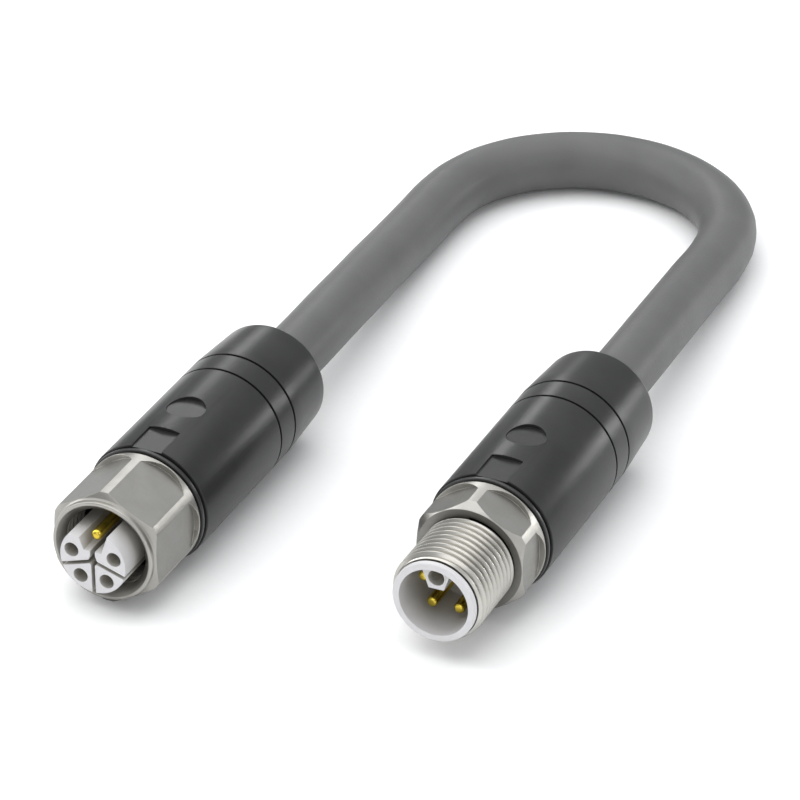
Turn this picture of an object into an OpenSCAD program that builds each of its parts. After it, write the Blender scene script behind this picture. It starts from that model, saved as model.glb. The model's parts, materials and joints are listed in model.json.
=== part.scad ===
// M12 power cordset, four contacts and earth: a socket with a coupling nut and
// a plug with a threaded coupling sleeve, joined by one moulded-on cable.
// Each connector is drawn along its own Z axis, front towards -Z, with z = 0 in
// the rear plane of its coupling nut or sleeve and the earth contact towards -Y.

/* [Connector pair] */
// Distance between the axes of the socket and the plug
axis_spacing = 41.2; // [36:0.2:60]
// How far the plug's coupling sits behind the socket's
plug_setback = 11.2; // [0:0.2:20]

/* [Cable] */
// Outside diameter of the cable jacket
cable_d = 8.2; // [7.8:0.1:9]
// Length of jacket held inside each moulded body
jacket_grip = 12; // [8:0.5:14]
// Outside diameter of one insulated wire
wire_d = 1.9; // [1.7:0.05:1.95]
// Diameter of the bare conductor in a crimp
conductor_d = 1.5; // [1:0.1:1.5]
// Radius at which the wires lie in the cable
wire_lay_r = 2.1; // [2:0.05:2.4]

/* [Moulded body] */
// Outside diameter of the moulded body
body_d = 16.4; // [15.4:0.1:20]
// Length from the coupling's rear plane to the body's rear face
body_len = 35.6; // [34:0.2:46]
// Length of the tapered rear end
taper_len = 8.8; // [4:0.2:9.4]
// How far the taper draws the rear edge in below the body's surface
taper_step = 0.5; // [0.1:0.05:1.5]
// Radius of the rear edge
rear_round = 0.8; // [0.2:0.1:1.5]
// Radius of the front edge
front_round = 0.15; // [0.05:0.05:0.3]
// Distance of the first fine groove from the rear face
groove_1_back = 14.2; // [12:0.1:16]
// Distance of the second fine groove from the rear face
groove_2_back = 10.2; // [9.8:0.1:11.4]
// Width of the fine grooves
groove_w = 0.4; // [0.2:0.05:0.6]
// Depth of the fine grooves
groove_depth = 0.4; // [0.1:0.05:0.6]
// Depth of the two marks in the top, at the crown
mark_depth = 0.5; // [0.3:0.05:0.7]
// Width of the rectangular pocket at the front
pocket_w = 4.2; // [3:0.1:5]
// Distance of the pocket's rear wall from the coupling's rear plane
pocket_end = 6; // [4:0.1:8]
// Diameter of the round finger recess
recess_d = 5; // [4:0.1:5.4]
// Distance of the finger recess from the coupling's rear plane
recess_pos = 11.7; // [11:0.1:16]

/* [Friction ring] */
// Running gap between the coupling and the friction ring
ring_gap = 0.2; // [0.15:0.05:0.3]
// Width of the friction ring
ring_w = 0.55; // [0.4:0.05:0.8]
// How far the friction ring's edge lies below the body's surface
ring_step = 0.2; // [0.1:0.05:0.5]
// Diameter of the body's spigot that carries the friction ring
spigot_d = 13.2; // [12.6:0.1:14]
// Groove between the friction ring and the body
ring_groove = 0.35; // [0.2:0.05:0.6]
// Diameter at the bottom of that groove
ring_groove_d = 14.4; // [14.1:0.1:15]

/* [Coupling hexagon] */
// Width across the milled flats
hex_af = 14; // [13.8:0.05:14.4]
// Diameter of the turned blank, left as lands and rear collar
blank_d = 15.55; // [15.4:0.05:15.9]
// Radius of the cutter that ends each flat
cutter_r = 5; // [4.5:0.1:8]
// Collar left behind the middle of each flat
flat_margin = 0.3; // [0.2:0.05:1]
// Chamfer on the rear edge
rear_chamfer = 0.15; // [0.05:0.05:0.25]
// Nominal diameter of the coupling thread
thread_d = 12; // [11.9:0.05:12.1]
// Pitch of the coupling thread
thread_pitch = 1; // [0.75:0.25:1]
// Radial running clearance of nut and sleeve on the contact carriers
running_clearance = 0.05; // [0.02:0.01:0.08]

/* [Socket nut] */
// Length of the coupling nut
nut_len = 11.05; // [10.5:0.05:12]
// Length of the turned nose in front of the flats
nose_len = 1.2; // [0.8:0.05:2]
// Outside diameter of the nose
nose_d = 13.6; // [13.2:0.1:13.8]
// Diameter of the nut's mouth
mouth_d = 12.7; // [12.3:0.05:12.9]
// Distance from the front face to the full thread
thread_entry = 0.95; // [0.6:0.05:1.5]
// Thickness of the nut's inner rear collar
nut_collar = 1.5; // [1:0.1:1.8]
// Diameter of the thread relief in front of that collar
relief_d = 12.1; // [12.02:0.02:12.6]
// Distance from the relief's front end to the rear plane
relief_len = 4.6; // [4.5:0.1:5.4]

/* [Plug sleeve] */
// Length of the threaded sleeve, front to rear plane
sleeve_len = 15.1; // [14:0.1:15.8]
// Length of its hexagon and collar
hex_len = 5.6; // [4.6:0.1:7]
// Diameter of the hexagon's flat front face
hex_face_d = 13.9; // [13.4:0.1:15.2]
// Length of the chamfer on the hexagon's corners
hex_chamfer = 0.95; // [0.5:0.05:1.2]
// Length of the lead chamfer of the thread
lead_chamfer = 0.6; // [0.3:0.05:1]

/* [Contact carriers] */
// Pitch circle radius of the five contacts
pitch_r = 3.03; // [2.98:0.01:3.1]
// Diameter of the neck on which nut and sleeve turn
neck_d = 9.9; // [9.8:0.02:10]
// Diameter of the anchoring rib inside the body
anchor_d = 11.8; // [11:0.1:12.2]
// Width of the anchoring rib
anchor_w = 1.5; // [1:0.1:2.5]
// Distance of the anchoring rib from the rear plane
anchor_pos = 3; // [2:0.1:4]
// Length of carrier inside the body
tail_len = 8; // [6.8:0.1:9]
// Gap left round moulded-in and pressed-in pieces
seat_clearance = 0.02; // [0.01:0.01:0.04]

/* [Socket carrier] */
// Distance of the contact face in front of the rear plane
socket_reach = 13.4; // [12.8:0.1:14]
// Diameter of the contact face
socket_face_d = 8.9; // [8.8:0.02:8.96]
// Diameter of the flange that holds the nut
flange_d = 11.5; // [11.3:0.05:11.6]
// Thickness of that flange
flange_w = 1.6; // [1.2:0.1:1.7]
// Distance of the earth pin's tip behind the contact face
earth_setback = 0.9; // [0.4:0.05:2]
// Width of the slots between the contact sectors
slot_w = 0.5; // [0.3:0.05:0.6]
// Width of the slot between the centre and the earth channel
earth_slot_w = 0.66; // [0.4:0.02:0.8]
// Depth of the slots
slot_depth = 8.4; // [6:0.1:8.8]
// Depth of the earth channel
channel_depth = 9.2; // [8:0.1:9.8]
// Distance from the axis to the floor of the earth channel
channel_floor = 1.37; // [1.2:0.01:1.4]
// Width of that floor
channel_w = 2.42; // [2.3:0.02:2.6]
// Distance from the axis to the flat beside the earth channel
flat_h = 2.95; // [2.7:0.05:3.4]
// Diameter of the socket holes
hole_d = 1.92; // [1.7:0.01:2]
// Depth at which the metal contacts start
contact_recess = 2.3; // [1:0.1:3]
// Thickness of the sealing ring
seal_w = 1; // [0.8:0.05:1.04]

/* [Plug carrier] */
// Distance of the plug's front edge in front of the rear plane
plug_reach = 16.05; // [15.6:0.05:17]
// Diameter of the front rim
rim_d = 10.76; // [10.4:0.02:10.84]
// Gap between the front rim and the sleeve
rim_gap = 0.25; // [0.15:0.05:0.3]
// Inside diameter of the plug
cavity_d = 9.02; // [8.98:0.02:9.2]
// Depth of the plug
cavity_depth = 9.2; // [9:0.1:10]
// Distance of the key's face behind the front edge
key_setback = 0.85; // [0.3:0.05:1.5]
// Distance from the axis to the key's foot
key_floor = 1.47; // [1.42:0.01:1.6]
// Width of the key's foot
key_w = 2; // [1.8:0.02:2.1]
// Spread of the key's sides, width gained for each mm of height
key_spread = 0.7; // [0.6:0.02:0.74]
// Diameter of the hole in the key
key_hole_d = 2.1; // [1.8:0.02:2.2]
// Depth of the metal contact inside the key
key_contact_recess = 2.8; // [1:0.1:4]
// Distance of the pin tips behind the front edge
pin_setback = 3.4; // [2.5:0.1:5]

/* [Contacts] */
// Length of the narrow guide in front of each plug pin's shank
pin_guide = 2.5; // [1.5:0.1:3]
// Diameter of the contact pins
pin_d = 1.4; // [1.2:0.02:1.46]
// Outside diameter of the socket contacts and crimp barrels
contact_d = 2.2; // [2.1:0.02:2.24]
// Outside diameter of the earth contact in the key
earth_contact_d = 2.4; // [2.3:0.02:2.44]
// Bore of the socket contacts
contact_bore = 1.5; // [1.48:0.02:1.6]
// Depth of that bore
contact_bore_len = 6; // [4:0.1:7]
// Width of the spring slots in the socket contacts
spring_slot = 0.24; // [0.15:0.01:0.3]
// Length of the crimp barrels behind the carrier
crimp_len = 5; // [4:0.1:6]
// Bore of the crimp barrels
crimp_bore = 1.6; // [1.54:0.02:1.7]
// Depth of the crimp bore
crimp_depth = 4; // [3:0.1:5]
// Diameter of the inner mould around crimps and wires
inner_d = 11.2; // [10.8:0.1:12.4]

/* [Hidden] */
// Facets of a full turn
$fn = 96;
// Overlap that makes a cut run clear of a surface
cut = 0.5;
// Overlap that joins two solids of one piece
weld = 0.01;
// Number of contacts round the pitch circle, earth included
contacts = 5;
// Directions of the slots between the socket's contact sectors
sector_slots = [108, 180, 252];
// Half widths and place of the relief where those slots meet
relief_half = 0.62;
relief_tip_half = 0.3;
relief_tip = 0.6;
relief_foot = 0.75;
// Crest radius inside an ISO thread, five eighths of the sharp height below its nominal size
thread_crest_r = thread_d / 2 - 0.5413 * thread_pitch;
// Edges of the coupling nut: nose radius, shoulder slope and mouth chamfer
nose_round = 0.2;
shoulder_slope = 0.35;
mouth_chamfer = 0.3;
// Radial drop of the thread's lead chamfer for each mm of its length
lead_drop = 0.85;
// Setback of the body's spigot behind the friction ring's front face
spigot_setback = 0.05;
// Axial play of the coupling nut between the carrier's flange and its collar
nut_play = 0.3;
// Tip radius of the earth pin and of the plug pins, as shares of their diameter
earth_tip = 0.4;
pin_tip = 0.25;
// Share of the contact bore that the spring slots open
slot_share = 0.8;
// Depth at which the key is rooted in the wall of the plug
key_root = 0.2;
// Bare conductor: short of the crimp's floor, and out of its mouth
conductor_gap = 0.2;
conductor_out = 0.6;
// Clearance in the inner mould behind each crimp
crimp_cover = 0.3;
// Places of both connectors: the pair is centred on the origin
axis_h = body_d / 2;
plug_y = (plug_setback + socket_reach - body_len) / 2;
socket_y = plug_y - plug_setback;
// Stations along each connector
body_front = ring_gap + ring_w + ring_groove;
jacket_end = body_len - jacket_grip;
crimp_end = tail_len + crimp_len;
neck_bore_r = neck_d / 2 + running_clearance;
flange_front = -nut_collar - nut_play - flange_w;
seal_z = flange_front - seal_w / 2;
key_top_r = cavity_d / 2 + key_root;
wire_tilt_gap = 0.25;
// Slope of the channel's sides, the same as on the key that slides in it
channel_spread = key_spread;

// Centre line of the cable: straight out of the plug, down to the surface that
// the pair lies on, round one half turn and up into the socket
cable_route = [
    [20.6, 18.1, 8.2], [20.6, 29, 8.2], [20.6, 36, 8.2], [20.5, 43.4, 8],
    [20.1, 51.3, 7.4], [19.4, 60.2, 6.3], [18.7, 69.8, 5.2], [18.2, 79, 4.4],
    [17, 86, 4.2], [14.1, 91.9, 4.2], [9.4, 96.6, 4.2], [3.5, 99.6, 4.2],
    [-3, 100.6, 4.2], [-9.4, 99.6, 4.2], [-15.2, 96.6, 4.2], [-19.8, 91.9, 4.2],
    [-22.7, 86, 4.2], [-23.7, 79.5, 4.2], [-23.7, 71.3, 4.2], [-23.3, 62.8, 4.7],
    [-22.6, 54.2, 5.7], [-21.7, 45.4, 6.8], [-21, 37, 7.7], [-20.6, 29, 8.1],
    [-20.6, 18, 8.2], [-20.6, 6.9, 8.2]
];
cable_sides = 12;

// ---- placing ----

// Stands a connector's own axis along +Y with its earth contact upwards
module at_socket() translate([-axis_spacing / 2, socket_y, axis_h]) rotate([-90, 0, 0]) children();
module at_plug() translate([axis_spacing / 2, plug_y, axis_h]) rotate([-90, 0, 0]) children();

// Seat number 0 is earth; the others follow it round the pitch circle
module at_contact(seat) {
    turn = seat * 360 / contacts;
    translate([pitch_r * sin(turn), -pitch_r * cos(turn), 0]) children();
}

// The plug mirrors the socket that it faces, so its seats run the other way round
function plug_seat(number) = -number;

// Points of a circular arc in a profile, [radius, z]
function arc(centre, r, from, to, steps = 6) =
    [for (i = [0:steps]) let (a = from + (to - from) * i / steps)
        centre + r * [cos(a), sin(a)]];

module tube(r, from, to) translate([0, 0, from]) cylinder(r = r, h = to - from);

// ---- moulded bodies ----

module moulded_body() {
    r = body_d / 2;
    rear_r = r - taper_step;
    g1 = body_len - groove_1_back;
    g2 = body_len - groove_2_back;
    floor_h = r - mark_depth;
    profile = concat(
        [[0, ring_gap + spigot_setback], [spigot_d / 2, ring_gap + spigot_setback],
         [spigot_d / 2, ring_gap + ring_w], [ring_groove_d / 2, ring_gap + ring_w],
         [ring_groove_d / 2, body_front]],
        arc([r - front_round, body_front + front_round], front_round, -90, 0, 3),
        [[r, g1], [r - groove_depth, g1], [r - groove_depth, g1 + groove_w], [r, g1 + groove_w],
         [r, g2], [r - groove_depth, g2], [r - groove_depth, g2 + groove_w], [r, g2 + groove_w],
         [r, body_len - taper_len]],
        arc([rear_r - rear_round, body_len - rear_round], rear_round, 0, 90),
        [[0, body_len]]);
    difference() {
        rotate_extrude() polygon(profile);
        // seat of the contact carrier and its anchoring rib
        tube(neck_d / 2 + seat_clearance, 0, tail_len);
        tube(anchor_d / 2 + seat_clearance, anchor_pos, anchor_pos + anchor_w);
        // inner mould and cable jacket
        tube(inner_d / 2 + seat_clearance, tail_len, jacket_end);
        tube(cable_d / 2 + seat_clearance, jacket_end - weld, body_len + cut);
        // rectangular pocket, open towards the friction ring
        translate([-pocket_w / 2, -r - cut, body_front - cut])
            cube([pocket_w, r + cut - floor_h, pocket_end - body_front + cut]);
        // round finger recess
        translate([0, -floor_h, recess_pos]) rotate([90, 0, 0])
            cylinder(d = recess_d, h = mark_depth + cut);
    }
}

module friction_ring() {
    edge = ring_w * 0.25;
    r = body_d / 2 - ring_step;
    seat = spigot_d / 2 + seat_clearance;
    translate([0, 0, ring_gap]) rotate_extrude() polygon(concat(
        [[seat, 0]], arc([r - edge, edge], edge, -90, 0, 3),
        arc([r - edge, ring_w - edge], edge, 0, 90, 3), [[seat, ring_w]]));
}

// ---- coupling nut and sleeve ----

// One milled flat: a cutter of radius cutter_r run in from the front
module flat_cut(front) {
    stop = -flat_margin - cutter_r;
    translate([0, hex_af / 2, 0]) {
        translate([-cutter_r, 0, front - cut]) cube([2 * cutter_r, blank_d, stop - front + cut]);
        translate([0, 0, stop]) rotate([-90, 0, 0]) cylinder(r = cutter_r, h = blank_d);
    }
}

module six_flats(front) for (i = [0:5]) rotate([0, 0, 30 + 60 * i]) flat_cut(front);

module coupling_nut() {
    r = blank_d / 2;
    nose_r = nose_d / 2;
    shoulder = -nut_len + nose_len - shoulder_slope;
    outside = concat(
        [[0, -nut_len], [nose_r - nose_round, -nut_len]],
        arc([nose_r - nose_round, -nut_len + nose_round], nose_round, -90, 0, 3),
        [[nose_r, shoulder - nose_round], [nose_r + nose_round, shoulder],
         [r, shoulder + shoulder_slope],
         [r, -rear_chamfer], [r - rear_chamfer, 0], [0, 0]]);
    inside = [
        [0, -nut_len - cut], [mouth_d / 2 + cut, -nut_len - cut], [mouth_d / 2, -nut_len],
        [thread_d / 2, -nut_len + mouth_chamfer], [thread_crest_r, -nut_len + thread_entry],
        [thread_crest_r, -relief_len], [relief_d / 2, -relief_len],
        [relief_d / 2, -nut_collar], [0, -nut_collar]];
    difference() {
        rotate_extrude() polygon(outside);
        rotate_extrude() polygon(inside);
        tube(neck_bore_r, -nut_collar - cut, cut);
        six_flats(-nut_len);
    }
}

module coupling_sleeve() {
    r = blank_d / 2;
    thread_r = thread_d / 2;
    outside = [
        [0, -sleeve_len], [thread_r - lead_chamfer * lead_drop, -sleeve_len],
        [thread_r, -sleeve_len + lead_chamfer], [thread_r, -hex_len],
        [hex_face_d / 2, -hex_len], [r, -hex_len + hex_chamfer],
        [r, -rear_chamfer], [r - rear_chamfer, 0], [0, 0]];
    difference() {
        rotate_extrude() polygon(outside);
        tube(neck_bore_r, -sleeve_len - cut, cut);
        six_flats(-hex_len);
    }
}

// ---- contact carriers ----

// Neck, anchoring rib and tail, the same on both carriers
module carrier_tail(front) {
    tube(neck_d / 2, front, tail_len);
    tube(anchor_d / 2, anchor_pos, anchor_pos + anchor_w);
}

// Bore of one contact, stepped down towards the face
module contact_seat(front_d, front, step, back_d) {
    tube(front_d / 2, front - cut, step + weld);
    tube(back_d / 2 + seat_clearance, step, tail_len + cut);
}

// Cross-section of the earth key, or of the channel that takes it
module key_section(foot, foot_w, spread, top)
    polygon([[-foot_w / 2, -foot], [foot_w / 2, -foot],
             [(foot_w + spread * (top - foot)) / 2, -top],
             [-(foot_w + spread * (top - foot)) / 2, -top]]);

module socket_carrier() {
    face = -socket_reach;
    difference() {
        union() {
            tube(socket_face_d / 2, face, flange_front);
            tube(flange_d / 2, flange_front, flange_front + flange_w);
            carrier_tail(flange_front + flange_w - weld);
        }
        // slots between the sectors and the relief where they meet
        for (turn = sector_slots) rotate([0, 0, turn])
            translate([-slot_w / 2, -body_d / 2, face - cut])
                cube([slot_w, body_d / 2, slot_depth + cut]);
        translate([-earth_slot_w / 2, -channel_floor - weld, face - cut])
            cube([earth_slot_w, channel_floor + weld, slot_depth + cut]);
        translate([0, 0, face - cut]) linear_extrude(slot_depth + cut)
            polygon([[-earth_slot_w / 2, -relief_foot], [earth_slot_w / 2, -relief_foot],
                     [relief_half, 0], [relief_tip_half, relief_tip],
                     [-relief_tip_half, relief_tip], [-relief_half, 0]]);
        // earth channel, open to the outside, and the flat beside it
        translate([0, 0, face - cut]) linear_extrude(channel_depth + cut)
            key_section(channel_floor, channel_w, channel_spread, socket_face_d / 2 + cut);
        translate([-socket_face_d / 2 - cut, -socket_face_d / 2 - cut, face - cut])
            cube([socket_face_d / 2 + cut - channel_w / 2, socket_face_d / 2 + cut - flat_h,
                  channel_depth + cut]);
        // contact seats
        for (seat = [1:4]) at_contact(seat)
            contact_seat(hole_d, face, face + contact_recess, contact_d);
        at_contact(0) contact_seat(pin_d + 2 * seat_clearance, face, -flange_w, contact_d);
    }
}

module sealing_ring()
    translate([0, 0, seal_z]) rotate_extrude()
        translate([(socket_face_d + seal_w) / 2, 0]) circle(d = seal_w, $fn = 32);

module plug_carrier() {
    front = -plug_reach;
    floor_z = front + cavity_depth;
    key_face = front + key_setback;
    rim_back = -sleeve_len - rim_gap;
    edge = 0.12;
    difference() {
        union() {
            rotate_extrude() polygon([
                [0, front], [rim_d / 2 - edge, front], [rim_d / 2, front + edge],
                [rim_d / 2, rim_back], [neck_d / 2, rim_back], [neck_d / 2, 0], [0, 0]]);
            carrier_tail(-1);
        }
        difference() {
            tube(cavity_d / 2, front - cut, floor_z);
            intersection() {
                translate([0, 0, key_face]) linear_extrude(cavity_depth)
                    key_section(key_floor, key_w, key_spread, key_top_r);
                tube(key_top_r, key_face, floor_z + cut);
            }
        }
        at_contact(0)
            contact_seat(key_hole_d, key_face, key_face + key_contact_recess, earth_contact_d);
        for (seat = [1:4]) at_contact(seat)
            contact_seat(pin_d + 2 * seat_clearance, floor_z, floor_z + pin_guide, contact_d);
    }
}

// ---- contacts ----

module crimp_bores() tube(crimp_bore / 2, crimp_end - crimp_depth, crimp_end + cut);

// Pin with a rounded tip, a thicker shank in the carrier and a crimp barrel
module contact_pin(tip, shank, tip_round) {
    r = pin_d / 2;
    difference() {
        rotate_extrude() polygon(concat(
            [[0, tip]], arc([r - tip_round, tip + tip_round], tip_round, -90, 0),
            [[r, shank], [contact_d / 2, shank], [contact_d / 2, crimp_end], [0, crimp_end]]));
        crimp_bores();
    }
}

// Sprung tube, slotted from the front, with a crimp barrel behind
module contact_tube(front, d) {
    difference() {
        union() {
            tube(d / 2, front, tail_len);
            tube(contact_d / 2, tail_len - weld, crimp_end);
        }
        tube(contact_bore / 2, front - cut, front + contact_bore_len);
        translate([-spring_slot / 2, -d, front - cut])
            cube([spring_slot, 2 * d, contact_bore_len * slot_share + cut]);
        crimp_bores();
    }
}

// ---- inside the mouldings ----

// Length and slope of a wire from its crimp to the end of the jacket
wire_run = jacket_end - crimp_end - 2 * wire_tilt_gap;
wire_slope = atan((pitch_r - wire_lay_r) / wire_run);

// The insulated stretch of one wire, seat at the pitch circle
module wire_insulation(seat, d, extra = 0) {
    turn = seat * 360 / contacts;
    at_contact(seat) translate([0, 0, crimp_end + wire_tilt_gap]) rotate([0, 0, turn])
        rotate([-wire_slope, 0, 0]) translate([0, 0, -extra])
            cylinder(d = d, h = wire_run / cos(wire_slope) + 2 * extra);
}

module wire(seat) {
    wire_insulation(seat, wire_d);
    at_contact(seat) tube(conductor_d / 2, crimp_end - crimp_depth + conductor_gap,
                          crimp_end + conductor_out);
}

module inner_mould() {
    difference() {
        tube(inner_d / 2, tail_len, jacket_end);
        for (seat = [0:4]) {
            at_contact(seat) tube(contact_d / 2 + seat_clearance, tail_len - cut, crimp_end + crimp_cover);
            wire_insulation(seat, wire_d + 2 * seat_clearance, cut);
        }
    }
}

// ---- cable ----

function unit(v) = v / norm(v);
function heading(path, i) =
    unit(path[min(i + 1, len(path) - 1)] - path[max(i - 1, 0)]);

// One ring of points square to the route
function ring(path, i, r) =
    let (t = heading(path, i), side = unit(cross(t, [0, 0, 1])), up = cross(side, t))
        [for (k = [0:cable_sides - 1]) let (a = 360 * k / cable_sides)
            path[i] + r * (cos(a) * side + sin(a) * up)];

module swept_tube(path, r) {
    n = cable_sides;
    last = (len(path) - 1) * n;
    points = [for (i = [0:len(path) - 1]) each ring(path, i, r)];
    walls = [for (i = [0:len(path) - 2]) for (k = [0:n - 1])
        [i * n + k, (i + 1) * n + k, (i + 1) * n + (k + 1) % n, i * n + (k + 1) % n]];
    ends = [[for (k = [0:n - 1]) k], [for (k = [n - 1:-1:0]) last + k]];
    polyhedron(points, concat(walls, ends));
}

// ---- sub-parts ----

module socket_body() color("#454545") at_socket() moulded_body();
module socket_friction_ring() color("#5a5a5a") at_socket() friction_ring();
module socket_coupling_nut() color("#b0aea8") at_socket() coupling_nut();
module socket_contact_carrier() color("#e0dfe2") at_socket() socket_carrier();
module socket_sealing_ring() color("#303030") at_socket() sealing_ring();
module socket_contact(number) color("#c9b44a") at_socket() at_contact(number)
    contact_tube(-socket_reach + contact_recess, contact_d);
module socket_earth_pin() color("#c9b44a") at_socket() at_contact(0)
    contact_pin(-socket_reach + earth_setback, -flange_w, pin_d * earth_tip);
module socket_inner_mould() color("#8a8a8a") at_socket() inner_mould();
module socket_wire(number) color("#303030") at_socket() wire(number);
module socket_earth_wire() color("#7aa03a") at_socket() wire(0);

module plug_body() color("#454545") at_plug() moulded_body();
module plug_friction_ring() color("#5a5a5a") at_plug() friction_ring();
module plug_coupling_sleeve() color("#c4c2bc") at_plug() coupling_sleeve();
module plug_contact_carrier() color("#e0dfe2") at_plug() plug_carrier();
module plug_pin(number) color("#c9b44a") at_plug() at_contact(plug_seat(number))
    contact_pin(-plug_reach + pin_setback, -plug_reach + cavity_depth + pin_guide, pin_d * pin_tip);
module plug_earth_contact() color("#c9b44a") at_plug() at_contact(0)
    contact_tube(-plug_reach + key_setback + key_contact_recess, earth_contact_d);
module plug_inner_mould() color("#8a8a8a") at_plug() inner_mould();
module plug_wire(number) color("#303030") at_plug() wire(plug_seat(number));
module plug_earth_wire() color("#7aa03a") at_plug() wire(0);

module cable() color("#787878") swept_tube(cable_route, cable_d / 2);

socket_body();
socket_friction_ring();
socket_coupling_nut();
socket_contact_carrier();
socket_sealing_ring();
socket_contact(1);  // socket_contact_1
socket_contact(2);  // socket_contact_2
socket_contact(3);  // socket_contact_3
socket_contact(4);  // socket_contact_4
socket_earth_pin();
socket_inner_mould();
socket_wire(1);  // socket_wire_1
socket_wire(2);  // socket_wire_2
socket_wire(3);  // socket_wire_3
socket_wire(4);  // socket_wire_4
socket_earth_wire();
plug_body();
plug_friction_ring();
plug_coupling_sleeve();
plug_contact_carrier();
plug_pin(1);  // plug_pin_1
plug_pin(2);  // plug_pin_2
plug_pin(3);  // plug_pin_3
plug_pin(4);  // plug_pin_4
plug_earth_contact();
plug_inner_mould();
plug_wire(1);  // plug_wire_1
plug_wire(2);  // plug_wire_2
plug_wire(3);  // plug_wire_3
plug_wire(4);  // plug_wire_4
plug_earth_wire();
cable();
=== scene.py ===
# M12 power cordset, laid out on a white table: a socket connector with a milled
# coupling nut, a plug with a threaded coupling sleeve, and the cable between.
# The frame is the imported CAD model; every piece below is a finished skin that
# stands for one of its nodes. Lengths are in millimetres until mm converts them.
import json
import math

import bmesh
import bpy
from mathutils import Matrix, Vector

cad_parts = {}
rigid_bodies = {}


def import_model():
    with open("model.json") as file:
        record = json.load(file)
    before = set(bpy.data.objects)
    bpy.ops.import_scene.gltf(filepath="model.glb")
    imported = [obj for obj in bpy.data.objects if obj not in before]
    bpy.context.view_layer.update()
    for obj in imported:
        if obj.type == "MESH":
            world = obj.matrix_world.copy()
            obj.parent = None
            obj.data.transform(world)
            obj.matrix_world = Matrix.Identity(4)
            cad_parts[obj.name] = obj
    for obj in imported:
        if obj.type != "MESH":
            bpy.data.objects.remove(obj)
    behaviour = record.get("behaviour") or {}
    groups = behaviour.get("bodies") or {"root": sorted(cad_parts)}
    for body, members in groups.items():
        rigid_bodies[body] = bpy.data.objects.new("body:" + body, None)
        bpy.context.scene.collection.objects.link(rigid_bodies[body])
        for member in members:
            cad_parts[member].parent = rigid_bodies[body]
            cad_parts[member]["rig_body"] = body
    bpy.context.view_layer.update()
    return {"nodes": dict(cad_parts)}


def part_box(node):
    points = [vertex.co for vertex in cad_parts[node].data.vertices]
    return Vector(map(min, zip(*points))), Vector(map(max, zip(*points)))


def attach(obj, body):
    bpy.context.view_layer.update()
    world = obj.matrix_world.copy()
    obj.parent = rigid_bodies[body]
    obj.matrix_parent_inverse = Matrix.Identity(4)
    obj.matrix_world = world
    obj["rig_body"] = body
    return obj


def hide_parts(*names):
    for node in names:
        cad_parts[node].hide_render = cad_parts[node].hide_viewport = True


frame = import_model()
mm = 0.001

# ---- camera and table ----------------------------------------------------------
# A long lens from the front, a little to the right and well above, as catalogues
# show such parts. The table is a seamless sheet of matt white board.
azimuth = math.radians(24.86)
elevation = math.radians(30.41)
roll = math.radians(-0.30)
camera_place = Vector((190.95, -398.28, 278.8)) * mm
back = Vector((math.sin(azimuth) * math.cos(elevation),
               -math.cos(azimuth) * math.cos(elevation), math.sin(elevation)))
right = Vector((math.cos(azimuth), math.sin(azimuth), 0))
up = back.cross(right)
right_rolled = math.cos(roll) * right + math.sin(roll) * up
up_rolled = math.cos(roll) * up - math.sin(roll) * right
camera_data = bpy.data.cameras.new("camera")
camera_data.lens = 187.2
camera_data.sensor_width = 36
camera_data.clip_start = 0.01
camera = bpy.data.objects.new("camera", camera_data)
bpy.context.scene.collection.objects.link(camera)
view = Matrix((right_rolled, up_rolled, back)).transposed().to_4x4()
view.translation = camera_place
camera.matrix_world = view
bpy.context.scene.camera = camera
bpy.context.scene.view_settings.view_transform = "Standard"


def linear(code):
    """Turns an sRGB hex colour into the linear colour that a shader takes."""
    parts = [int(code[i:i + 2], 16) / 255 for i in (1, 3, 5)]
    return (*[p / 12.92 if p < 0.04045 else ((p + 0.055) / 1.055) ** 2.4 for p in parts], 1)


def add(tree, kind, settings=None, inputs=None):
    """Adds one node, sets its properties, then its inputs: a socket is linked, a value is set."""
    node = tree.nodes.new(kind)
    for name, value in (settings or {}).items():
        setattr(node, name, value)
    for name, value in (inputs or {}).items():
        if isinstance(value, bpy.types.NodeSocket):
            tree.links.new(value, node.inputs[name])
        else:
            node.inputs[name].default_value = value
    return node


def noise(tree, where, scale, detail):
    """Noise between 0 and 1; the scale is in spots per metre."""
    return add(tree, "ShaderNodeTexNoise", {}, {
        "Vector": where, "Scale": scale, "Detail": detail}).outputs["Fac"]


def spread(tree, share, low, high):
    """A share between 0 and 1, spread from one value to another."""
    return add(tree, "ShaderNodeMapRange", {}, {
        "Value": share, "To Min": low, "To Max": high}).outputs["Result"]


def new_material(name):
    """A material with an empty tree, and the object's own coordinates in it."""
    material = bpy.data.materials.new(name)
    material.use_nodes = True
    tree = material.node_tree
    tree.nodes.clear()
    where = add(tree, "ShaderNodeTexCoord").outputs["Object"]
    return material, tree, where


def shade(tree, inputs):
    """Ends a material's tree with its shader and output."""
    shader = add(tree, "ShaderNodeBsdfPrincipled", {}, inputs)
    add(tree, "ShaderNodeOutputMaterial", {}, {"Surface": shader.outputs["BSDF"]})


table_reach = 3000
table_top = -0.02
table_mesh = bpy.data.meshes.new("table")
table_mesh.from_pydata([(x * table_reach * mm, y * table_reach * mm, table_top * mm)
                        for x, y in ((-1, -1), (1, -1), (1, 1), (-1, 1))], [], [(0, 1, 2, 3)])
table = bpy.data.objects.new("table", table_mesh)
bpy.context.scene.collection.objects.link(table)
board, tree, where = new_material("matt_white_board")
shade(tree, {"Base Color": spread(tree, noise(tree, where, 900.0, 3.0), 0.9, 0.93), "Roughness": 0.85})
table_mesh.materials.append(board)

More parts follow.
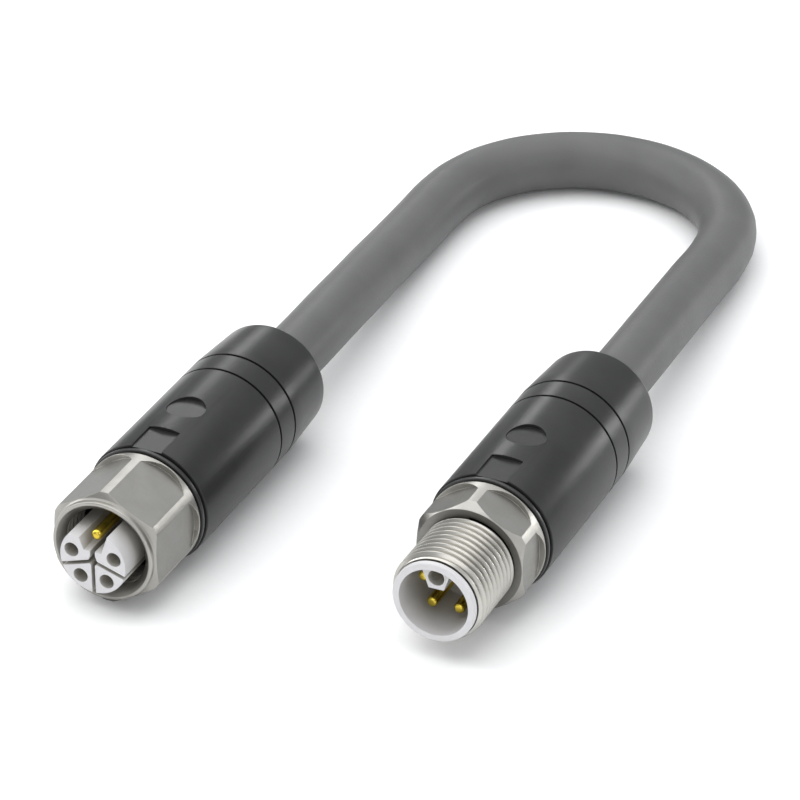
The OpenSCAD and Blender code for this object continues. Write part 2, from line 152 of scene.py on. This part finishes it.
# ---- studio light --------------------------------------------------------------
# Soft boxes as in a catalogue studio: a large one above, weak ones round about,
# and two small ones behind, which draw the bright bands along both bodies. The
# room is dimmer towards the horizon, as walls are that stand out of the light.
wall_light = 0.25
ceiling_light = 0.75
ceiling_from = 0.4
room = bpy.data.worlds.new("room")
room.use_nodes = True
tree = room.node_tree
sight = add(tree, "ShaderNodeTexCoord").outputs["Generated"]
climb = add(tree, "ShaderNodeSeparateXYZ", {}, {"Vector": sight}).outputs["Z"]
dimmer = add(tree, "ShaderNodeMapRange", {}, {
    "Value": climb, "From Max": ceiling_from, "To Min": wall_light, "To Max": ceiling_light})
glow = tree.nodes["Background"]
glow.inputs["Color"].default_value = linear("#f4f6f8")
tree.links.new(dimmer.outputs["Result"], glow.inputs["Strength"])
bpy.context.scene.world = room


def soft_box(name, place, aim, size, power):
    """One rectangular soft box at place, facing aim, both in millimetres."""
    data = bpy.data.lights.new(name, "AREA")
    data.shape = "RECTANGLE"
    data.size, data.size_y = size[0] * mm, size[1] * mm
    data.energy = power
    lamp = bpy.data.objects.new(name, data)
    lamp.visible_camera = False
    bpy.context.scene.collection.objects.link(lamp)
    lamp.location = Vector(place) * mm
    lamp.rotation_euler = (Vector(aim) - Vector(place)).to_track_quat("-Z", "Y").to_euler()


soft_box("box_above", (-60, 40, 430), (0, 20, 0), (760, 560), 2.1)
soft_box("box_left", (-430, -60, 230), (0, 10, 5), (160, 420), 0.8)
soft_box("box_right", (420, -120, 200), (10, 0, 5), (140, 380), 0.35)
soft_box("box_front", (60, -480, 160), (0, 0, 8), (360, 120), 0.35)
soft_box("strip_behind_left", (-205, 362, 205), (0, 10, 8), (80, 110), 0.13)
soft_box("strip_behind_right", (282, 360, 60), (0, 10, 8), (110, 80), 0.25)

# ---- cable ---------------------------------------------------------------------
# Round cable, five cores under an extruded grey polyurethane jacket, 8.2 mm. It
# leaves both mouldings straight, comes down to the table and turns in a U.
cable_d = 8.2
cable_route = [
    (20.6, 18.1, 8.2), (20.6, 29, 8.2), (20.6, 36, 8.2), (20.5, 43.4, 8),
    (20.1, 51.3, 7.4), (19.4, 60.2, 6.3), (18.7, 69.8, 5.2), (18.2, 79, 4.4),
    (17, 86, 4.2), (14.1, 91.9, 4.2), (9.4, 96.6, 4.2), (3.5, 99.6, 4.2),
    (-3, 100.6, 4.2), (-9.4, 99.6, 4.2), (-15.2, 96.6, 4.2), (-19.8, 91.9, 4.2),
    (-22.7, 86, 4.2), (-23.7, 79.5, 4.2), (-23.7, 71.3, 4.2), (-23.3, 62.8, 4.7),
    (-22.6, 54.2, 5.7), (-21.7, 45.4, 6.8), (-21, 37, 7.7), (-20.6, 29, 8.1),
    (-20.6, 18, 8.2), (-20.6, 6.9, 8.2)]
cable_curve = bpy.data.curves.new("cable_jacket", "CURVE")
cable_curve.dimensions = "3D"
cable_curve.bevel_depth = cable_d / 2 * mm
cable_curve.bevel_resolution = 10
cable_curve.resolution_u = 10
cable_curve.use_fill_caps = True
line = cable_curve.splines.new("BEZIER")
line.bezier_points.add(len(cable_route) - 1)
for knot, point in zip(line.bezier_points, cable_route):
    knot.co = Vector(point) * mm
    knot.handle_left_type = knot.handle_right_type = "AUTO"
cable = bpy.data.objects.new("cable_jacket", cable_curve)
bpy.context.scene.collection.objects.link(cable)


def two_tones(tree, share, start, end, dark, light):
    """A ramp between two sRGB tones, from the start of the share to its end."""
    ramp = add(tree, "ShaderNodeValToRGB", {}, {"Fac": share})
    for element, place, code in zip(ramp.color_ramp.elements, (start, end), (dark, light)):
        element.position = place
        element.color = linear(code)
    return ramp.outputs["Color"]


def bumps(tree, height, strength, depth, edge=0.0):
    """Fine relief, on edges that look rounded to the radius of edge, both in millimetres."""
    relief = add(tree, "ShaderNodeBump", {}, {
        "Height": height, "Strength": strength, "Distance": depth * mm})
    if edge:
        rounded = add(tree, "ShaderNodeBevel", {"samples": 6}, {"Radius": edge * mm})
        tree.links.new(rounded.outputs["Normal"], relief.inputs["Normal"])
    return relief.outputs["Normal"]


# Extruded polyurethane: matt, with the faint grain and slow streaks of the die.
jacket, tree, where = new_material("extruded_polyurethane_grey")
grain = noise(tree, where, 2600.0, 4.0)
cloud = noise(tree, where, 160.0, 2.0)
shade(tree, {
    "Base Color": two_tones(tree, cloud, 0.3, 0.7, "#585858", "#5d5d5d"),
    "Roughness": spread(tree, grain, 0.42, 0.52), "Normal": bumps(tree, grain, 0.25, 0.1),
    "IOR": 1.5, "Specular IOR Level": 0.3})
cable_curve.materials.append(jacket)
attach(cable, "cordset")
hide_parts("cable")

# ---- moulded bodies ------------------------------------------------------------
# Black polyurethane overmould, one shot over the inner mould and the jacket, two
# fine parting grooves, a finger recess and a pocket left bare; both are alike.


def finished_copy(node, sharp_angle=28):
    """A merged copy of a CAD node with smooth round faces and crisp edges."""
    mesh = frame["nodes"][node].data.copy()
    mesh.name = node + "_finished"
    mesh.materials.clear()
    work = bmesh.new()
    work.from_mesh(mesh)
    bmesh.ops.remove_doubles(work, verts=work.verts, dist=0.002 * mm)
    work.to_mesh(mesh)
    work.free()
    if "custom_normal" in mesh.attributes:
        mesh.attributes.remove(mesh.attributes["custom_normal"])
    mesh.shade_smooth()
    mesh.set_sharp_from_angle(angle=math.radians(sharp_angle))
    piece = bpy.data.objects.new(node + "_finished", mesh)
    bpy.context.scene.collection.objects.link(piece)
    return piece


def fit(piece, node, material):
    """The finished piece takes its node's place and body, gets the material, and hides the node."""
    piece.data.materials.clear()
    piece.data.materials.append(material)
    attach(piece, frame["nodes"][node]["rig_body"])
    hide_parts(node)


def painted_shade_in_hollows(tree, tone, shade_tone, reach):
    """Painted shade: the tone, turned towards the shade tone where walls stand close round the surface."""
    closeness = add(tree, "ShaderNodeAmbientOcclusion", {"samples": 8}, {"Distance": reach * mm})
    # of the colour mix's sockets, 6 and 7 are the two colours and 2 is the result
    return add(tree, "ShaderNodeMix", {"data_type": "RGBA"}, {
        "Factor": closeness.outputs["AO"], 6: linear(shade_tone), 7: tone}).outputs[2]


def spark_eroded(name, dark, light, roughness, grain_size, edge=0.12, shade_tone=None, reach=5,
                 gloss=0.5, grain_strength=0.1):
    """Moulded plastic from a spark-eroded mould: fine even grain, softly rounded edges, and painted shade
    in its hollows when a shade tone is given.
    """
    material, tree, where = new_material(name)
    grain = noise(tree, where, 1 / (grain_size * mm), 3.0)
    cloud = noise(tree, where, 220.0, 3.0)
    colour = two_tones(tree, cloud, 0.35, 0.65, dark, light)
    if shade_tone:
        colour = painted_shade_in_hollows(tree, colour, shade_tone, reach)
    shade(tree, {
        "Base Color": colour, "Roughness": spread(tree, cloud, roughness - 0.05, roughness + 0.05),
        "Normal": bumps(tree, grain, grain_strength, 0.04, edge),
        "IOR": 1.5, "Specular IOR Level": gloss})
    return material


# painted shade: near black in the parting grooves and the recess corners, within reach of their walls
black_moulding = spark_eroded("moulded_polyurethane_black", "#272727", "#2b2b2b", 0.3, 0.2,
                              shade_tone="#060606", reach=0.45, gloss=0.25, grain_strength=0.3)
for end in ("socket", "plug"):
    fit(finished_copy(end + "_body"), end + "_body", black_moulding)

# ---- friction rings ------------------------------------------------------------
# A thin black nylon ring in front of each body: the nut or sleeve runs against it.
ring_nylon = spark_eroded("moulded_nylon_black", "#1d1d1d", "#222222", 0.3, 0.1, 0.1)
for end in ("socket", "plug"):
    fit(finished_copy(end + "_friction_ring", 50), end + "_friction_ring", ring_nylon)

# ---- contact carriers ----------------------------------------------------------
# Light grey glass-filled polyamide, moulded in one piece each: the socket's with
# five sectors and the earth channel, the plug's with its cavity, rim and key.
# painted shade: a warm grey in the plug's cavity, the socket holes, slots and the earth channel
carrier_nylon = spark_eroded("moulded_polyamide_light_grey", "#c2c1c3", "#c9c8ca", 0.45, 0.1, 0.08,
                             shade_tone="#a09c92", gloss=0.4)
for end in ("socket", "plug"):
    fit(finished_copy(end + "_contact_carrier"), end + "_contact_carrier", carrier_nylon)

# ---- coupling nut and coupling sleeve --------------------------------------------
# Brass bar, turned, milled on six sides and nickel-plated. Both M12 x 1 threads
# are cut here as true helices; the sleeve's runs up to its hexagon.
thread_pitch = 1.0
thread_r = 6.0
nut_minor_r = 5.459
thread_depth = 0.613
steps_round = 120
rows_per_turn = 16
weld = 0.0005


def calc(tree, operation, *values):
    """The result of one sum in a node tree."""
    return add(tree, "ShaderNodeMath", {"operation": operation}, dict(enumerate(values))).outputs[0]


def thread_tree():
    """A cylinder wall whose rows follow the helix, so that crests and roots stay crisp."""
    tree = bpy.data.node_groups.new("cut_thread", "GeometryNodeTree")
    for name in ("Length", "Radius", "Depth", "Pitch", "Lead", "Lead Drop", "Side"):
        tree.interface.new_socket(name, in_out="INPUT", socket_type="NodeSocketFloat")
    tree.interface.new_socket("Rows", in_out="INPUT", socket_type="NodeSocketInt")
    tree.interface.new_socket("Geometry", in_out="OUTPUT", socket_type="NodeSocketGeometry")
    given = add(tree, "NodeGroupInput").outputs
    wall = add(tree, "GeometryNodeMeshGrid", {}, {
        "Size X": 1.0, "Size Y": 1.0, "Vertices X": steps_round + 1, "Vertices Y": given["Rows"]})
    spot = add(tree, "ShaderNodeSeparateXYZ", {}, {
        "Vector": add(tree, "GeometryNodeInputPosition").outputs[0]})
    turn = calc(tree, "ADD", spot.outputs["X"], 0.5)
    share = calc(tree, "ADD", spot.outputs["Y"], 0.5)
    # one pitch is added at the start, so that the sheared rows still reach both ends
    reach = calc(tree, "ADD", given["Length"], given["Pitch"])
    along = calc(tree, "MULTIPLY_ADD", share, reach, calc(tree, "MULTIPLY", given["Pitch"], -1.0))
    sheared = calc(tree, "MULTIPLY_ADD", turn, given["Pitch"], along)
    station = calc(tree, "MINIMUM", calc(tree, "MAXIMUM", sheared, 0.0), given["Length"])
    turns = calc(tree, "DIVIDE", along, given["Pitch"])
    away = calc(tree, "ABSOLUTE", calc(tree, "SUBTRACT", turns, calc(tree, "ROUND", turns)))
    # crest an eighth of the pitch wide, flanks at 30 degrees, root a quarter wide
    cut = add(tree, "ShaderNodeMapRange", {}, {
        "Value": away, "From Min": 1 / 16, "From Max": 3 / 8, "To Min": 0.0, "To Max": given["Depth"]})
    # Side is 1 on a screw, and -1 in a nut, where everything is turned inside out
    crest = calc(tree, "MULTIPLY", given["Radius"], given["Side"])
    wave = calc(tree, "SUBTRACT", crest, cut.outputs["Result"])
    lead = add(tree, "ShaderNodeMapRange", {}, {
        "Value": station, "From Min": 0.0, "From Max": given["Lead"],
        "To Min": given["Lead Drop"], "To Max": 0.0})
    cone = calc(tree, "SUBTRACT", crest, lead.outputs["Result"])
    radius = calc(tree, "MULTIPLY", calc(tree, "MINIMUM", wave, cone), given["Side"])
    angle = calc(tree, "MULTIPLY", turn, 2 * math.pi)
    point = add(tree, "ShaderNodeCombineXYZ", {}, {
        "X": calc(tree, "MULTIPLY", radius, calc(tree, "SINE", angle)), "Y": station,
        "Z": calc(tree, "MULTIPLY", radius, calc(tree, "COSINE", angle))})
    moved = add(tree, "GeometryNodeSetPosition", {}, {
        "Geometry": wall.outputs["Mesh"], "Position": point.outputs["Vector"]})
    closed = add(tree, "GeometryNodeMergeByDistance", {}, {
        "Geometry": moved.outputs["Geometry"], "Distance": weld})
    real = add(tree, "GeometryNodeRealizeInstances", {}, {"Geometry": closed.outputs["Geometry"]})
    add(tree, "NodeGroupOutput", {}, {"Geometry": real.outputs["Geometry"]})
    return tree


cut_thread = thread_tree()


def threaded_wall(name, length, radius, depth, lead, lead_drop, turned_in=False):
    """One thread as a plain mesh along +Y from y = 0, its crest at the given radius."""
    holder = bpy.data.objects.new(name, bpy.data.meshes.new(name))
    bpy.context.scene.collection.objects.link(holder)
    cutter = holder.modifiers.new("thread", "NODES")
    cutter.node_group = cut_thread
    identifiers = {item.name: item.identifier for item in cut_thread.interface.items_tree
                   if item.in_out == "INPUT"}
    rows = int(rows_per_turn * (length / thread_pitch + 1)) + 1
    for key, value in (("Length", length), ("Radius", radius), ("Depth", depth),
                       ("Pitch", thread_pitch), ("Lead", lead), ("Lead Drop", lead_drop),
                       ("Side", -1.0 if turned_in else 1.0), ("Rows", rows)):
        cutter[identifiers[key]] = value
    bpy.context.view_layer.update()
    whole = bpy.context.evaluated_depsgraph_get()
    mesh = bpy.data.meshes.new_from_object(holder.evaluated_get(whole))
    bpy.data.objects.remove(holder)
    work = bmesh.new()
    work.from_mesh(mesh)
    bmesh.ops.dissolve_degenerate(work, edges=work.edges, dist=weld)
    bmesh.ops.recalc_face_normals(work, faces=work.faces)
    outward = sum((f.normal.x * f.calc_center_median().x + f.normal.z * f.calc_center_median().z)
                  * f.calc_area() for f in work.faces)
    if (outward < 0) != turned_in:
        bmesh.ops.reverse_faces(work, faces=work.faces)
    work.to_mesh(mesh)
    work.free()
    mesh.shade_smooth()
    mesh.set_sharp_from_angle(angle=math.radians(40))
    return mesh


def join_thread(piece, mesh, start):
    """Puts a thread at its start and adds it to a piece, in the piece's own object."""
    mesh.transform(Matrix.Translation(start))
    mesh.transform(Matrix.Scale(mm, 4))
    other = bpy.data.objects.new("added", mesh)
    bpy.context.scene.collection.objects.link(other)
    with bpy.context.temp_override(active_object=piece, selected_editable_objects=[piece, other]):
        bpy.ops.object.join()


def without_faces(piece, unwanted):
    """Takes out the faces that a thread replaces."""
    work = bmesh.new()
    work.from_mesh(piece.data)
    gone = [f for f in work.faces if unwanted(f, f.calc_center_median())]
    bmesh.ops.delete(work, geom=gone, context="FACES")
    work.to_mesh(piece.data)
    work.free()


axis_height = 8.2
blank_r = 7.8
across_flats = 14.0
flat_slack = 0.05
hexagon_len = 5.6
low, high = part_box("plug_coupling_sleeve")
plug_x = (low[0] + high[0]) / 2 / mm
sleeve_front = low[1] / mm
thread_end = high[1] / mm - hexagon_len
low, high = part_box("socket_coupling_nut")
socket_x = (low[0] + high[0]) / 2 / mm
nut_front = low[1] / mm


def from_axis(point, axis_x):
    """Distance of a point from a connector's axis, in millimetres."""
    return math.hypot(point.x / mm - axis_x, point.z / mm - axis_height)


def plated_nickel(name, tint, rough, streak, marks, shade_tone="#5a5852"):
    """Cut brass under nickel: satin, with soft edges and the fine marks left by the tool, and painted
    shade where walls stand close, as inside the nut.
    """
    material, tree, where = new_material(name)
    stretched = add(tree, "ShaderNodeMapping", {}, {"Vector": where, "Scale": marks}).outputs["Vector"]
    lines = noise(tree, stretched, 1.0, 2.0)
    tone = two_tones(tree, noise(tree, where, 420.0, 3.0), 0.3, 0.7, *tint)
    shade(tree, {
        "Base Color": painted_shade_in_hollows(tree, tone, shade_tone, 4),
        "Roughness": spread(tree, lines, rough - 0.07, rough + 0.07),
        "Normal": bumps(tree, lines, streak, 0.03, 0.1), "Metallic": 1.0})
    return material


# turned surfaces have rings round the axis, milled ones an even grain. All three are one nickel: the
# lighter tone of the cut copy is painted light, the darker tone of the milled copy painted shade.
ring_marks = (250.0, 9000.0, 250.0)
mill_marks = (2200.0, 2200.0, 2200.0)
nickel = plated_nickel("turned_nickel_plated_brass", ("#9e9c97", "#a8a6a1"), 0.36, 0.2, ring_marks)
cut_nickel_painted_light = plated_nickel("thread_cut_nickel_plated_brass_painted_light", ("#b8b6b0", "#c0beb8"), 0.3, 0.1,
                           ring_marks, "#a3a09a")
milled_nickel_painted_shade = plated_nickel("milled_nickel_plated_brass_painted_shade", ("#8e8d89", "#949390"), 0.46, 0.12,
                              mill_marks)


def milled(face, axis_x, least_lean, most_lean, highest):
    """True on what the cutter left at one of the six flats, told by its lean and its height."""
    for turn in range(6):
        angle = math.radians(30 + 60 * turn)
        outward = Vector((math.sin(angle), 0, math.cos(angle)))
        height = (face.center.x / mm - axis_x) * outward.x + (face.center.z / mm - axis_height) * outward.z
        if (least_lean <= abs(face.normal.dot(outward)) <= most_lean
                and across_flats / 2 - flat_slack < height < highest):
            return True
    return False


def on_flat(face, axis_x):
    """True on a milled flat."""
    return milled(face, axis_x, 0.999, 1.001, across_flats / 2 + flat_slack)


def on_run_out(face, axis_x, front):
    """True on the curved wall behind front where the cutter stopped, short of the rear collar."""
    return face.center.y > front * mm and milled(face, axis_x, 0, 0.02, blank_r)


def paint_faces(piece, material, chosen):
    """Gives the faces that are chosen one more material."""
    piece.data.materials.append(material)
    for face in piece.data.polygons:
        if chosen(face):
            face.material_index = len(piece.data.materials) - 1


# the sleeve: its crest wall and lead chamfer make way for the thread
crest_slack = 0.08
lead_len = 0.6
lead_drop = 0.51
chamfer_foot_r = 5.02
chamfer_end = 0.7
sleeve_run_out = 1.2
sleeve = finished_copy("plug_coupling_sleeve", 14)
without_faces(sleeve, lambda f, at: at.y < (thread_end - 0.01) * mm
              and abs(from_axis(at, plug_x) - thread_r) < crest_slack)
without_faces(sleeve, lambda f, at: at.y < (sleeve_front + chamfer_end) * mm
              and 0.2 < abs(f.normal.y) < 0.95 and chamfer_foot_r < from_axis(at, plug_x) < thread_r)
join_thread(sleeve, threaded_wall("sleeve_thread", thread_end - sleeve_front, thread_r,
                                  thread_depth, lead_len, lead_drop),
            (plug_x, sleeve_front, axis_height))
fit(sleeve, "plug_coupling_sleeve", nickel)
# painted shade: the flats and the hexagon's turned front face take the milled nickel's darker tone
paint_faces(sleeve, milled_nickel_painted_shade, lambda f: on_flat(f, plug_x) or (
    abs(f.center.y / mm - thread_end) < 0.01 and f.normal.y < -0.99))
# painted light: the run-out walls and the thread take the cut nickel's lighter tone
paint_faces(sleeve, cut_nickel_painted_light, lambda f: on_run_out(f, plug_x, thread_end + sleeve_run_out) or (
    f.center.y < thread_end * mm and abs(f.normal.y) < 0.95
    and thread_r - thread_depth - 0.1 < from_axis(f.center, plug_x) < thread_r + 0.05))

# the nut: its bore wall makes way for the thread, which starts behind the mouth
bore_slack = 0.05
nut_thread_start = 0.95
nut_thread_len = 5.5
nut_lead_len = 0.4
nut_run_out = 2
nut = finished_copy("socket_coupling_nut", 14)
without_faces(nut, lambda f, at: abs(f.normal.y) < 0.2
              and abs(from_axis(at, socket_x) - nut_minor_r) < bore_slack)
join_thread(nut, threaded_wall("nut_thread", nut_thread_len, nut_minor_r,
                               thread_r - nut_minor_r, nut_lead_len, 0.0, True),
            (socket_x, nut_front + nut_thread_start, axis_height))
fit(nut, "socket_coupling_nut", nickel)
# painted shade on the flats from the milled nickel's darker tone, painted light on the run-out walls from
# the cut nickel's lighter tone
paint_faces(nut, milled_nickel_painted_shade, lambda f: on_flat(f, socket_x))
paint_faces(nut, cut_nickel_painted_light, lambda f: on_run_out(f, socket_x, nut_front + nut_run_out))

# ---- contacts --------------------------------------------------------------------
# Turned copper alloy, gold over nickel: four pins and an earth socket in the
# plug, four sprung sockets and an earth pin in the socket, crimped on the wires.
gold, tree, where = new_material("gold_plated_copper_alloy")
cloud = noise(tree, where, 600.0, 2.0)
shade(tree, {
    "Base Color": two_tones(tree, cloud, 0.3, 0.7, "#c9b040", "#d3bc4e"),
    "Roughness": spread(tree, cloud, 0.2, 0.3), "Metallic": 1.0})
contacts = ["socket_earth_pin", "plug_earth_contact"]
for number in range(1, 5):
    contacts += [f"socket_contact_{number}", f"plug_pin_{number}"]
for node in contacts:
    fit(finished_copy(node, 35), node, gold)

# ---- sealing ring ------------------------------------------------------------------
# Black fluorocarbon O-ring, at the foot of the socket's carrier.
rubber = spark_eroded("moulded_rubber_black", "#141414", "#1b1b1b", 0.55, 0.2)
fit(finished_copy("socket_sealing_ring", 60), "socket_sealing_ring", rubber)

# ---- inside the mouldings ------------------------------------------------------------
# Inner moulds of plain polyurethane round the crimps, black cores and a green and
# yellow earth core; none of them shows while the connectors are whole.
inner = spark_eroded("moulded_polyurethane_inner", "#6c6c6c", "#787878", 0.5, 0.2)
core_black = spark_eroded("extruded_pvc_black", "#1c1c1c", "#242424", 0.45, 0.2)
core_earth = spark_eroded("extruded_pvc_green_yellow", "#3f8f3a", "#c9c233", 0.45, 0.2)
for end in ("socket", "plug"):
    fit(finished_copy(end + "_inner_mould"), end + "_inner_mould", inner)
    fit(finished_copy(end + "_earth_wire"), end + "_earth_wire", core_earth)
    for number in range(1, 5):
        fit(finished_copy(f"{end}_wire_{number}"), f"{end}_wire_{number}", core_black)
